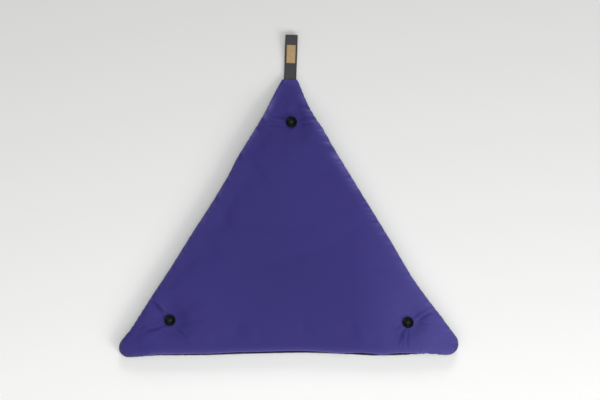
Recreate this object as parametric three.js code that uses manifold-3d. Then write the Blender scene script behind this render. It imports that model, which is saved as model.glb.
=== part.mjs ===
// A three-cornered seat cushion: a thin filled pad held by three tufting buttons,
// with a loop of webbing sewn into its top corner and a small patch on the loop.
// Millimetres, +Z up. The pad lies on its back, X along its long edge and Y towards
// the loop. The tables have their own origin; the finished whole is moved so that the
// middle of its length and width comes over the origin.
import * as THREE from 'three';
import { mergeVertices } from 'three/addons/utils/BufferGeometryUtils.js';
import Module from 'manifold-3d';

const wasm = await Module();
wasm.setup();

// The outline is a band round these rounds, walked clockwise seen from above.
const ROUNDS = {
  left: { x: -258, y: -244, radius: 16 },
  tipLeft: { x: -7.7, y: 187, radius: 4 },
  tipRight: { x: 11.2, y: 187, radius: 4 },
  right: { x: 256.5, y: -238, radius: 18.5 },
};
const ROUND_STEPS = 12;

// Each side is drawn in between its corners: the share of its length, then how far.
const LEFT_SIDE = [
  { along: 0, inward: 0 },
  { along: 0.06, inward: 3.5 },
  { along: 0.18, inward: 4.4 },
  { along: 0.3, inward: 6.3 },
  { along: 0.42, inward: 6.6 },
  { along: 0.54, inward: 8 },
  { along: 0.63, inward: 7.6 },
  { along: 0.72, inward: 4.7 },
  { along: 0.86, inward: 4.6 },
  { along: 0.94, inward: 1.6 },
  { along: 1, inward: 0 },
];
const RIGHT_SIDE = [
  { along: 0, inward: 0 },
  { along: 0.06, inward: 4.3 },
  { along: 0.13, inward: 7.1 },
  { along: 0.18, inward: 6.1 },
  { along: 0.26, inward: 7.7 },
  { along: 0.4, inward: 8 },
  { along: 0.6, inward: 8.4 },
  { along: 0.74, inward: 9.9 },
  { along: 0.82, inward: 7.9 },
  { along: 0.9, inward: 3.9 },
  { along: 0.97, inward: 1 },
  { along: 1, inward: 0 },
];
const LONG_SIDE = [
  { along: 0, inward: 0 },
  { along: 0.06, inward: 2.1 },
  { along: 0.16, inward: 0.2 },
  { along: 0.22, inward: 0 },
  { along: 0.3, inward: 2.1 },
  { along: 0.46, inward: 5.3 },
  { along: 0.64, inward: 4.1 },
  { along: 0.78, inward: 2.4 },
  { along: 0.9, inward: 2.6 },
  { along: 1, inward: 0 },
];
const SIDE_STEPS = 96;

// The pad in section: a rounded rim above the seam, then a slow crown, and a rounded
// foot below it that runs out flat on the surface.
const PAD = {
  seamHeight: 12,
  rimRise: 12,
  rimWidth: 15,
  rimFullness: 2.3,
  crownRise: 8,
  crownReach: 55,
  footWidth: 17,
  footFullness: 2.2,
  rows: 56,
  edgeCrowding: 1.4,
};

// Towards each corner the pad thins to a share of its section.
const THIN_CORNERS = [
  { name: 'top', x: 1, y: 191, reach: 85, share: 0.36 },
  { name: 'left', x: -275, y: -260, reach: 70, share: 0.72 },
  { name: 'right', x: 275, y: -256, reach: 70, share: 0.76 },
];

// Where the buttons pull the pad in, how far each is turned in its place, and how far it
// is kept above the cloth near it. The cloth rises most steeply beside the top button.
const TUFTS = [
  { name: 'top', x: 5, y: 120, depth: 6.5, turn: 20, clearance: 0.5 },
  { name: 'left', x: -191, y: -200.5, depth: 8, turn: 38, clearance: 0.3 },
  { name: 'right', x: 193, y: -204, depth: 8.5, turn: 12, clearance: 0.32 },
];
const TUFT = { seat: 9, fade: 17, footShare: 0.4, footSeat: 3, footFade: 13 };

// Creases and soft valleys in the face, from one end to the other.
const CREASES = [
  { fromX: -44, fromY: 116.5, toX: -6, toY: 119, depth: 3, width: 5 },
  { fromX: 16, fromY: 120, toX: 46, toY: 122, depth: 2.6, width: 5 },
  { fromX: -224, fromY: -165, toX: -201, toY: -188, depth: 3.6, width: 5.5 },
  { fromX: -232, fromY: -219, toX: -202, toY: -208, depth: 2.6, width: 6 },
  { fromX: -182, fromY: -202, toX: -146, toY: -205, depth: 1.6, width: 9 },
  { fromX: 206, fromY: -200, toX: 238, toY: -184, depth: 3.6, width: 5.5 },
  { fromX: 187, fromY: -213, toX: 172, toY: -241, depth: 3, width: 5.5 },
  { fromX: 192, fromY: -217, toX: 191, toY: -241, depth: 2, width: 5 },
  { fromX: -106, fromY: -42, toX: 30, toY: -50, depth: 1.5, width: 13 },
  { fromX: -42, fromY: -111, toX: 14, toY: -97, depth: 1.2, width: 12 },
  { fromX: 14, fromY: -97, toX: 84, toY: -72, depth: 1.2, width: 12 },
];

const BUTTON = {
  radius: 9,
  rimHeight: 3.6,
  rimWidth: 1.8,
  dishHeight: 2.2,
  edgeRound: 0.9,
  holeRadius: 1.1,
  holeOffset: 2,
  sides: 36,
  holeSides: 12,
};

// The loop's webbing leaves the top corner double, lies on the surface with its lower
// layer and springs open at its fold. Rows give the height of a layer's middle.
const WEBBING = { width: 20, thickness: 1.4, lean: 1.95, startX: 2.75, startY: 191.48 };
const LOOP_FOLD = { out: 66.9, radius: 4.3, steps: 16 };
const FLOOR_LAYER = WEBBING.thickness / 2;
const LOWER_LAYER = [
  { out: 0, up: 3.7 },
  { out: 9, up: 1.7 },
  { out: 18, up: FLOOR_LAYER },
  { out: LOOP_FOLD.out, up: FLOOR_LAYER },
];
const UPPER_LAYER = [
  { out: 0, up: 5.5 },
  { out: 12, up: 4.2 },
  { out: 26, up: 3.9 },
  { out: 41, up: 5.6 },
  { out: 55.5, up: 8.3 },
  { out: LOOP_FOLD.out, up: FLOOR_LAYER + 2 * LOOP_FOLD.radius },
];
const LAYER_STEPS = 32;

const LABEL = { width: 14.8, from: 25.2, to: 55.2, thickness: 1.1, gap: 0.32, steps: 18 };

// The middle of the whole's length and width, loop included, as the tables have it.
const WHOLE_MIDDLE = { x: 0.5, y: 1.85 };

const MATERIALS = {
  cloth: { color: 0x3a3476, roughness: 0.75, metalness: 0 },
  button: { color: 0x15181c, roughness: 0.4, metalness: 0 },
  webbing: { color: 0x424149, roughness: 0.85, metalness: 0 },
  leather: { color: 0xa58c64, roughness: 0.7, metalness: 0 },
};

// Points closer than this are one point.
const SAME_PLACE = 1e-4;

// A smooth curve through a table's rows that never runs past them.
function smoothThrough(rows, across, value) {
  const slopes = rows.slice(1).map(
    (row, i) => (row[value] - rows[i][value]) / (row[across] - rows[i][across]));
  const tangents = rows.map((row, i) => {
    const before = slopes[i - 1] ?? 0;
    const after = slopes[i] ?? 0;
    return before * after > 0 ? (2 * before * after) / (before + after) : 0;
  });
  return at => {
    const next = rows.findIndex((row, i) => i > 0 && at <= row[across]);
    const i = (next < 0 ? rows.length - 1 : next) - 1;
    const span = rows[i + 1][across] - rows[i][across];
    const t = (at - rows[i][across]) / span;
    const ease = t * t * (3 - 2 * t);
    const leaving = t * (1 - t) * (1 - t) * span * tangents[i];
    const arriving = t * t * (1 - t) * span * tangents[i + 1];
    return rows[i][value] + ease * (rows[i + 1][value] - rows[i][value]) + leaving - arriving;
  };
}

// The straight tangent over two rounds, on the left of the way from one to the next.
function tangentOver(from, to) {
  const centre = new THREE.Vector2(from.x, from.y);
  const way = new THREE.Vector2(to.x, to.y).sub(centre);
  const sine = (from.radius - to.radius) / way.length();
  way.normalize();
  const outward = new THREE.Vector2(-way.y, way.x)
    .multiplyScalar(Math.sqrt(1 - sine * sine))
    .addScaledVector(way, sine);
  const start = centre.addScaledVector(outward, from.radius);
  const end = new THREE.Vector2(to.x, to.y).addScaledVector(outward, to.radius);
  return { start, end, outward };
}

function sidePoints(side, rows) {
  const inward = smoothThrough(rows, 'along', 'inward');
  return Array.from({ length: SIDE_STEPS + 1 }, (_, i) => {
    const along = i / SIDE_STEPS;
    return side.start.clone().lerp(side.end, along).addScaledVector(side.outward, -inward(along));
  });
}

function roundPoints(round, before, after) {
  const first = before.outward.angle();
  const turn = (first - after.outward.angle() + 2 * Math.PI) % (2 * Math.PI);
  return Array.from({ length: ROUND_STEPS - 1 }, (_, i) => {
    const angle = first - (turn * (i + 1)) / ROUND_STEPS;
    return new THREE.Vector2(
      round.x + round.radius * Math.cos(angle), round.y + round.radius * Math.sin(angle));
  });
}

function makeSides() {
  return {
    left: tangentOver(ROUNDS.left, ROUNDS.tipLeft),
    tip: tangentOver(ROUNDS.tipLeft, ROUNDS.tipRight),
    right: tangentOver(ROUNDS.tipRight, ROUNDS.right),
    long: tangentOver(ROUNDS.right, ROUNDS.left),
  };
}

function makeOutline(sides) {
  return [
    ...sidePoints(sides.left, LEFT_SIDE),
    ...roundPoints(ROUNDS.tipLeft, sides.left, sides.tip),
    sides.tip.start,
    sides.tip.end,
    ...roundPoints(ROUNDS.tipRight, sides.tip, sides.right),
    ...sidePoints(sides.right, RIGHT_SIDE),
    ...roundPoints(ROUNDS.right, sides.right, sides.long),
    ...sidePoints(sides.long, LONG_SIDE),
    ...roundPoints(ROUNDS.left, sides.long, sides.left),
  ];
}

// Where the straight lines of two sides meet.
function sharpCorner(one, other) {
  const along = one.end.clone().sub(one.start);
  const between = other.start.clone().sub(one.start);
  const share = between.dot(other.outward) / along.dot(other.outward);
  return one.start.clone().addScaledVector(along, share);
}

const sides = makeSides();
const outline = makeOutline(sides);
const corners = [
  sharpCorner(sides.long, sides.left),
  sharpCorner(sides.right, sides.long),
  sharpCorner(sides.left, sides.right),
];
const middle = corners[0].clone().add(corners[1]).add(corners[2]).divideScalar(3);

// How far the outline lies from the middle, looking along a direction.
function reachAlong(direction) {
  const normal = new THREE.Vector2(-direction.y, direction.x);
  for (let i = 0; i < outline.length; i += 1) {
    const from = outline[i].clone().sub(middle);
    const to = outline[(i + 1) % outline.length].clone().sub(middle);
    const sideOfFrom = from.dot(normal);
    const sideOfTo = to.dot(normal);
    if (sideOfFrom * sideOfTo <= 0 && from.dot(direction) > 0 && sideOfFrom !== sideOfTo) {
      return from.lerp(to, sideOfFrom / (sideOfFrom - sideOfTo)).dot(direction);
    }
  }
  throw new Error('the outline does not close round its middle');
}

function distanceToLine(point, from, to) {
  const way = to.clone().sub(from);
  const share = THREE.MathUtils.clamp(
    point.clone().sub(from).dot(way) / Math.max(way.lengthSq(), Number.EPSILON), 0, 1);
  return point.distanceTo(way.multiplyScalar(share).add(from));
}

function distanceToOutline(point) {
  return outline.reduce((nearest, from, i) =>
    Math.min(nearest, distanceToLine(point, from, outline[(i + 1) % outline.length])), Infinity);
}

function thinning(point) {
  return THIN_CORNERS.reduce((share, corner) => {
    const away = Math.hypot(point.x - corner.x, point.y - corner.y) / corner.reach;
    return share * (corner.share + (1 - corner.share) * THREE.MathUtils.smoothstep(away, 0, 1));
  }, 1);
}

// A quarter of a superellipse: nought at the edge, one from its width inwards.
function rounded(inward, width, fullness) {
  const left = 1 - Math.min(inward / width, 1);
  return Math.pow(1 - Math.pow(left, fullness), 1 / fullness);
}

function bell(away, width) {
  return Math.exp(-((away / width) ** 2));
}

function tuftPull(point, seat, fade) {
  return TUFTS.reduce((pull, tuft) => {
    const away = Math.hypot(point.x - tuft.x, point.y - tuft.y);
    return pull + tuft.depth * bell(Math.max(0, away - seat), fade);
  }, 0);
}

function creasePull(point) {
  return CREASES.reduce((pull, crease) => {
    const from = new THREE.Vector2(crease.fromX, crease.fromY);
    const to = new THREE.Vector2(crease.toX, crease.toY);
    return pull + crease.depth * bell(distanceToLine(point, from, to), crease.width);
  }, 0);
}

function padHeights(point) {
  const inward = distanceToOutline(point);
  const share = thinning(point);
  const rim = rounded(inward, PAD.rimWidth, PAD.rimFullness);
  const foot = rounded(inward, PAD.footWidth, PAD.footFullness);
  const crown = PAD.crownRise * (1 - Math.exp(-inward / PAD.crownReach));
  const pull = tuftPull(point, TUFT.seat, TUFT.fade) + creasePull(point);
  return {
    seam: share * PAD.seamHeight,
    top: share * (PAD.seamHeight + PAD.rimRise * rim + crown) - rim * pull,
    bottom: share * PAD.seamHeight * (1 - foot)
      + TUFT.footShare * foot * tuftPull(point, TUFT.footSeat, TUFT.footFade),
  };
}

// A point of the pad's plan from its three shares of the corners. Rows crowd towards
// the sides, and the whole is drawn from the sharp corners in to the outline.
function planPoint(shares) {
  const crowded = shares.map(share => share ** PAD.edgeCrowding);
  const total = crowded[0] + crowded[1] + crowded[2];
  const kept = crowded.map(share => share / total);
  const offset = new THREE.Vector2();
  corners.forEach((corner, i) => {
    offset.addScaledVector(corner, kept[i]).addScaledVector(middle, -kept[i]);
  });
  const outwards = 1 - 3 * Math.min(...kept);
  if (offset.length() < SAME_PLACE) {
    return middle.clone();
  }
  const direction = offset.normalize();
  return middle.clone().addScaledVector(direction, outwards * reachAlong(direction));
}

// The pad's face and underside share the vertices of the seam, and the three outermost
// cells are left out, so that each corner ends in one short seam edge.
function makePad() {
  const rows = PAD.rows;
  const positions = [];
  const face = new Map();
  const underside = new Map();
  const add = (point, height) => positions.push(point.x, point.y, height) / 3 - 1;
  const key = (i, j) => i * (rows + 1) + j;
  for (let i = 0; i <= rows; i += 1) {
    for (let j = 0; i + j <= rows; j += 1) {
      const shares = [rows - i - j, i, j];
      if (Math.max(...shares) === rows) continue;
      const point = planPoint(shares.map(share => share / rows));
      const heights = padHeights(point);
      const onSeam = Math.min(...shares) === 0;
      face.set(key(i, j), add(point, onSeam ? heights.seam : heights.top));
      underside.set(key(i, j), onSeam ? face.get(key(i, j)) : add(point, heights.bottom));
    }
  }
  const triangles = [];
  const addCell = keys => {
    if (!keys.every(corner => face.has(corner))) return;
    triangles.push(...keys.map(corner => face.get(corner)));
    triangles.push(...keys.map(corner => underside.get(corner)).reverse());
  };
  for (let i = 0; i < rows; i += 1) {
    for (let j = 0; i + j < rows; j += 1) {
      addCell([key(i, j), key(i + 1, j), key(i, j + 1)]);
      if (i + j < rows - 1) {
        addCell([key(i + 1, j), key(i + 1, j + 1), key(i, j + 1)]);
      }
    }
  }
  return meshGeometry(positions, triangles);
}

function meshGeometry(positions, triangles) {
  const geometry = new THREE.BufferGeometry();
  geometry.setAttribute('position', new THREE.Float32BufferAttribute(positions, 3));
  geometry.setIndex(triangles);
  geometry.computeVertexNormals();
  return geometry;
}

function toSolid(geometry) {
  const bare = geometry.clone();
  bare.deleteAttribute('normal');
  bare.deleteAttribute('uv');
  const merged = mergeVertices(bare, SAME_PLACE);
  return new wasm.Manifold(new wasm.Mesh({
    numProp: 3,
    vertProperties: new Float32Array(merged.attributes.position.array),
    triVerts: new Uint32Array(merged.index.array),
  }));
}

function fromSolid(solid) {
  const mesh = solid.getMesh();
  return meshGeometry([...mesh.vertProperties], [...mesh.triVerts]);
}

// A button turned about Z: flat back, rounded edge, raised rim and sunken dish.
function makeButton() {
  const { radius, rimHeight, rimWidth, dishHeight, edgeRound } = BUTTON;
  const profile = [
    [0, 0],
    [radius - 2 * edgeRound, 0],
    [radius - edgeRound / 3, edgeRound],
    [radius, rimHeight / 2],
    [radius - edgeRound / 3, rimHeight - edgeRound / 2],
    [radius - edgeRound, rimHeight],
    [radius - rimWidth, rimHeight - edgeRound / 3],
    [radius - rimWidth - edgeRound, dishHeight + edgeRound / 3],
    [radius / 3, dishHeight],
    [0, dishHeight],
  ].map(([out, up]) => new THREE.Vector2(out, up));
  const blank = new THREE.LatheGeometry(profile, BUTTON.sides).rotateX(Math.PI / 2);
  return fromSolid([0, 1, 2, 3].reduce((solid, quarter) => {
    const angle = ((quarter + 0.5) * Math.PI) / 2;
    const hole = new THREE.CylinderGeometry(
      BUTTON.holeRadius, BUTTON.holeRadius, 3 * rimHeight, BUTTON.holeSides);
    hole.rotateX(Math.PI / 2);
    hole.translate(
      Math.SQRT2 * BUTTON.holeOffset * Math.cos(angle),
      Math.SQRT2 * BUTTON.holeOffset * Math.sin(angle), 0);
    return solid.subtract(toSolid(hole));
  }, toSolid(blank)));
}

// The highest point of the pad's mesh that could touch a button above it.
function highestUnder(pad, tuft) {
  const place = pad.attributes.position;
  let highest = 0;
  for (let i = 0; i < place.count; i += 1) {
    const away = Math.hypot(place.getX(i) - tuft.x, place.getY(i) - tuft.y);
    if (away < BUTTON.radius + TUFT.seat / 2) {
      highest = Math.max(highest, place.getZ(i));
    }
  }
  return highest;
}

// The middle line of the webbing, out along the lower layer, round the fold and back.
function loopLine() {
  const lower = smoothThrough(LOWER_LAYER, 'out', 'up');
  const upper = smoothThrough(UPPER_LAYER, 'out', 'up');
  const outs = Array.from({ length: LAYER_STEPS + 1 }, (_, i) => (i * LOOP_FOLD.out) / LAYER_STEPS);
  const fold = Array.from({ length: LOOP_FOLD.steps - 1 }, (_, i) => {
    const angle = -Math.PI / 2 + (Math.PI * (i + 1)) / LOOP_FOLD.steps;
    return new THREE.Vector2(
      LOOP_FOLD.out + LOOP_FOLD.radius * Math.cos(angle),
      FLOOR_LAYER + LOOP_FOLD.radius * (1 + Math.sin(angle)));
  });
  return [
    ...outs.map(out => new THREE.Vector2(out, lower(out))),
    ...fold,
    ...outs.reverse().map(out => new THREE.Vector2(out, upper(out))),
  ];
}

// A band beside a line, between two distances to its right, as a closed outline.
function bandOutline(line, near, far) {
  const rights = line.map((point, i) => {
    const before = line[Math.max(i - 1, 0)];
    const after = line[Math.min(i + 1, line.length - 1)];
    const way = after.clone().sub(before).normalize();
    return new THREE.Vector2(way.y, -way.x);
  });
  const beside = distance => line.map((point, i) => point.clone().addScaledVector(rights[i], distance));
  return [...beside(far), ...beside(near).reverse()];
}

// An outline in the plane of out and up, made as wide as asked along X, in the loop's place.
function makeStrip(outlinePoints, width) {
  const geometry = new THREE.ExtrudeGeometry(
    new THREE.Shape(outlinePoints), { depth: width, bevelEnabled: false });
  const [alongX, alongY, alongZ] = [[1, 0, 0], [0, 1, 0], [0, 0, 1]].map(
    axis => new THREE.Vector3(...axis));
  geometry.translate(0, 0, -width / 2);
  geometry.applyMatrix4(new THREE.Matrix4().makeBasis(alongY, alongZ, alongX));
  return geometry;
}

function makeLoop() {
  const half = WEBBING.thickness / 2;
  return makeStrip(bandOutline(loopLine(), -half, half), WEBBING.width);
}

function makeLabel() {
  const upper = smoothThrough(UPPER_LAYER, 'out', 'up');
  const line = Array.from({ length: LABEL.steps + 1 }, (_, i) => {
    const out = LABEL.to + ((LABEL.from - LABEL.to) * i) / LABEL.steps;
    return new THREE.Vector2(out, upper(out));
  });
  const near = WEBBING.thickness / 2 + LABEL.gap;
  return makeStrip(bandOutline(line, near, near + LABEL.thickness), LABEL.width);
}

function namedMesh(name, geometry, look) {
  const mesh = new THREE.Mesh(geometry, new THREE.MeshStandardMaterial(look));
  mesh.name = name;
  return mesh;
}

function makeButtons(pad) {
  return TUFTS.map(tuft => {
    const button = namedMesh(`button-${tuft.name}`, makeButton(), MATERIALS.button);
    button.position.set(tuft.x, tuft.y, highestUnder(pad, tuft) + tuft.clearance);
    button.rotation.z = THREE.MathUtils.degToRad(tuft.turn);
    return button;
  });
}

function makeHanger() {
  const hanger = new THREE.Group();
  hanger.position.set(WEBBING.startX, WEBBING.startY, 0);
  hanger.rotation.z = THREE.MathUtils.degToRad(-WEBBING.lean);
  hanger.add(
    namedMesh('hanging-loop', makeLoop(), MATERIALS.webbing),
    namedMesh('label', makeLabel(), MATERIALS.leather));
  return hanger;
}

function makeCushion() {
  const cushion = new THREE.Group();
  const pad = makePad();
  cushion.add(namedMesh('cushion', pad, MATERIALS.cloth), ...makeButtons(pad), makeHanger());
  cushion.position.set(-WHOLE_MIDDLE.x, -WHOLE_MIDDLE.y, 0);
  return cushion;
}

export default makeCushion();
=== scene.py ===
"""The looks of a three-cornered seat cushion with three buttons and a hanging loop.

The tables are in millimetres: X along the long side, Y towards the loop, +Z out of the
face. Meshes are made in metres, with the middle of the whole moved over the origin.
"""
import math
from collections import namedtuple

import bmesh
import bpy
import numpy as np
from mathutils import Matrix, Vector


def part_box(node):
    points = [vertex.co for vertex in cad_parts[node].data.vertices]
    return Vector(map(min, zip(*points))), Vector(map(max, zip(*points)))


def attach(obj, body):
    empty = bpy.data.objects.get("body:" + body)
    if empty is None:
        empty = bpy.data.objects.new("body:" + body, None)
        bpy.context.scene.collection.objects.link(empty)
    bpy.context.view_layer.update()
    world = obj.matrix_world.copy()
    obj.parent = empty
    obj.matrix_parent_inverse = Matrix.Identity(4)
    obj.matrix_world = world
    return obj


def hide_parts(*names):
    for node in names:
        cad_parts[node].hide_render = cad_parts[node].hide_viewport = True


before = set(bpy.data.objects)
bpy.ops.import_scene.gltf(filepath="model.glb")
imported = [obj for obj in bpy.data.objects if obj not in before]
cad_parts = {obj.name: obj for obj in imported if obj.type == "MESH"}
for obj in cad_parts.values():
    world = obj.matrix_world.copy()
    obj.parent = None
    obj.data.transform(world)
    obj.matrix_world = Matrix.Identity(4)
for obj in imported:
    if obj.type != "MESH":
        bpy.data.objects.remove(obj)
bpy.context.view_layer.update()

MM = 0.001
TINY = 1e-9

# The middle of the whole's length and width, loop included, as the tables have it.
WHOLE_MIDDLE = (0.5, 1.85, 0)


def rows_of(kind, rows):
    """A table whose columns have the kind's names."""
    return [kind(*row) for row in rows]


# The outline is a band round these rounds, walked clockwise seen from above.
Round = namedtuple("Round", "x y radius")
ROUND_LEFT = Round(-258, -244, 16)
ROUND_TIP_LEFT = Round(-7.7, 187, 4)
ROUND_TIP_RIGHT = Round(11.2, 187, 4)
ROUND_RIGHT = Round(256.5, -238, 18.5)
ROUND_STEPS = 24

# Each side is drawn in between its corners: the share of its length, then how far.
Drawn = namedtuple("Drawn", "along inward")
LEFT_SIDE = rows_of(Drawn, [
    (0, 0), (0.06, 3.5), (0.18, 4.4), (0.3, 6.3), (0.42, 6.6), (0.54, 8),
    (0.63, 7.6), (0.72, 4.7), (0.86, 4.6), (0.94, 1.6), (1, 0),
])
RIGHT_SIDE = rows_of(Drawn, [
    (0, 0), (0.06, 4.3), (0.13, 7.1), (0.18, 6.1), (0.26, 7.7), (0.4, 8),
    (0.6, 8.4), (0.74, 9.9), (0.82, 7.9), (0.9, 3.9), (0.97, 1), (1, 0),
])
LONG_SIDE = rows_of(Drawn, [
    (0, 0), (0.06, 2.1), (0.16, 0.2), (0.22, 0), (0.3, 2.1),
    (0.46, 5.3), (0.64, 4.1), (0.78, 2.4), (0.9, 2.6), (1, 0),
])
SIDE_STEPS = 300

# The pad in section: two rolls of cloth meet in the seam, a slow crown lies above.
SEAM_HEIGHT = 12
SEAM_INSET = 1.7
RIM_RISE = 12
RIM_WIDTH = 15
CROWN_RISE = 8
CROWN_REACH = 55
FOOT_WIDTH = 17
ROLL_FULLNESS = 2.3
ROWS = 300
EDGE_CROWDING = 1.4
SMOOTHING_PASSES = 4

Thin = namedtuple("Thin", "x y reach share")
THIN_CORNERS = [
    Thin(1, 191, 85, 0.36),
    Thin(-275, -260, 70, 0.72),
    Thin(275, -256, 70, 0.76),
]

Tuft = namedtuple("Tuft", "name x y depth turn")
TUFTS = [
    Tuft("top", 5, 120, 6.5, 20),
    Tuft("left", -191, -200.5, 8, 38),
    Tuft("right", 193, -204, 8.5, 12),
]
TUFT_SEAT = 8
TUFT_FADE = 17
TUFT_FOOT_SHARE = 0.4
TUFT_FOOT_SEAT = 3
TUFT_FOOT_FADE = 13

# Creases in the face. Depth is of the trough, ridge of the roll beside it on its left.
Crease = namedtuple("Crease", "from_x from_y to_x to_y depth width ridge bow")
CREASES = [
    Crease(-22, 131, -5, 124, 2.3, 1.7, 1, 0.5),
    Crease(-34, 114, -4, 112.5, 2.3, 1.7, 1.1, 1),
    Crease(-30, 123, -9, 119.5, 1.1, 1.6, 0.4, 0),
    Crease(14, 124, 21, 126, 1.5, 1.6, 0.4, 0),
    Crease(17, 116.5, 41, 118.5, 2.7, 1.7, 1.3, -0.8),
    Crease(-222, -167, -205, -186, 4.2, 2, 2.3, 0.5),
    Crease(-230, -217.5, -201, -208, 3.5, 2.2, 1.4, -1.5),
    Crease(-213, -196, -203, -197, 1.1, 1.8, 0.4, 0),
    Crease(-180, -201.5, -146, -203, 1.6, 4.2, 0.3, 1),
    Crease(-181, -216.5, -171, -223, 1.8, 2, 0.5, 0),
    Crease(202.5, -195, 208, -190, 2.4, 1.8, 0.7, 0),
    Crease(210, -200, 235.5, -186, 3.3, 2, 2, 1.2),
    Crease(205, -204.5, 228, -206, 2.2, 1.8, 0.6, 0),
    Crease(177, -236, 188.5, -213.5, 4, 2.1, 2.2, 0.5),
    Crease(191, -241, 192.3, -218, 2.9, 1.6, 1.8, 0),
    Crease(183, -206.5, 173, -213.5, 1.8, 1.8, 0.5, 0),
]

# Broad soft valleys in the face.
Valley = namedtuple("Valley", "from_x from_y to_x to_y depth width")
VALLEYS = [
    Valley(-106, -42, 30, -50, 1.5, 13),
    Valley(-108, -24, -86, -24, 0.7, 6),
    Valley(-84, -5, -32, 1, 0.7, 8),
    Valley(-42, -111, 14, -97, 1.2, 12),
    Valley(14, -97, 84, -72, 1.2, 12),
    Valley(207, -208.5, 219, -213, 1.1, 5),
]


def smooth_through(rows, at):
    """A smooth curve through (across, value) rows that never runs past them."""
    across = np.array([row[0] for row in rows], float)
    value = np.array([row[1] for row in rows], float)
    slopes = np.diff(value) / np.diff(across)
    product = slopes[:-1] * slopes[1:]
    total = slopes[:-1] + slopes[1:]
    inner = np.where(product > 0, 2 * product / np.where(total == 0, 1, total), 0)
    tangents = np.concatenate([[0], inner, [0]])
    i = np.clip(np.searchsorted(across, at, side="left") - 1, 0, len(rows) - 2)
    span = across[i + 1] - across[i]
    t = np.clip((at - across[i]) / span, 0, 1)
    ease = t * t * (3 - 2 * t)
    leaving = t * (1 - t) ** 2 * span * tangents[i]
    arriving = t * t * (1 - t) * span * tangents[i + 1]
    return value[i] + ease * (value[i + 1] - value[i]) + leaving - arriving


def tangent_over(first, second):
    """Start, end and outward direction of the straight line over two rounds."""
    start, end = np.array(first[:2], float), np.array(second[:2], float)
    way = end - start
    length = np.hypot(*way)
    way /= length
    sine = (first.radius - second.radius) / length
    outward = np.array([-way[1], way[0]]) * math.sqrt(1 - sine * sine) + way * sine
    return start + outward * first.radius, end + outward * second.radius, outward


def side_points(side, rows):
    start, end, outward = side
    along = np.linspace(0, 1, SIDE_STEPS + 1)[:, None]
    inward = smooth_through(rows, along[:, 0])[:, None]
    return start + (end - start) * along - outward * inward


def round_points(around, before, after):
    first = math.atan2(before[2][1], before[2][0])
    last = math.atan2(after[2][1], after[2][0])
    turn = (first - last) % (2 * math.pi)
    angles = first - turn * np.arange(1, ROUND_STEPS) / ROUND_STEPS
    circle = np.column_stack([np.cos(angles), np.sin(angles)])
    return np.array(around[:2]) + around.radius * circle


def make_outline():
    """The outline's points, clockwise, and the sharp corners of its straight sides."""
    left = tangent_over(ROUND_LEFT, ROUND_TIP_LEFT)
    tip = tangent_over(ROUND_TIP_LEFT, ROUND_TIP_RIGHT)
    right = tangent_over(ROUND_TIP_RIGHT, ROUND_RIGHT)
    long = tangent_over(ROUND_RIGHT, ROUND_LEFT)
    points = np.vstack([
        side_points(left, LEFT_SIDE),
        round_points(ROUND_TIP_LEFT, left, tip),
        tip[0],
        tip[1],
        round_points(ROUND_TIP_RIGHT, tip, right),
        side_points(right, RIGHT_SIDE),
        round_points(ROUND_RIGHT, right, long),
        side_points(long, LONG_SIDE),
        round_points(ROUND_LEFT, long, left),
    ])
    corners = np.array([
        sharp_corner(long, left),
        sharp_corner(right, long),
        sharp_corner(left, right),
    ])
    return points, corners


def sharp_corner(one, other):
    along = one[1] - one[0]
    share = (other[0] - one[0]) @ other[2] / (along @ other[2])
    return one[0] + along * share


# In millimetres: steps of the outline shorter than the first are passed over, and nearer
# to it than the second the way inwards is square to it. Batches keep the arrays small.
SHORTEST_STEP = 1e-6
BESIDE_OUTLINE = 0.2
BATCHES = 40


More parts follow.
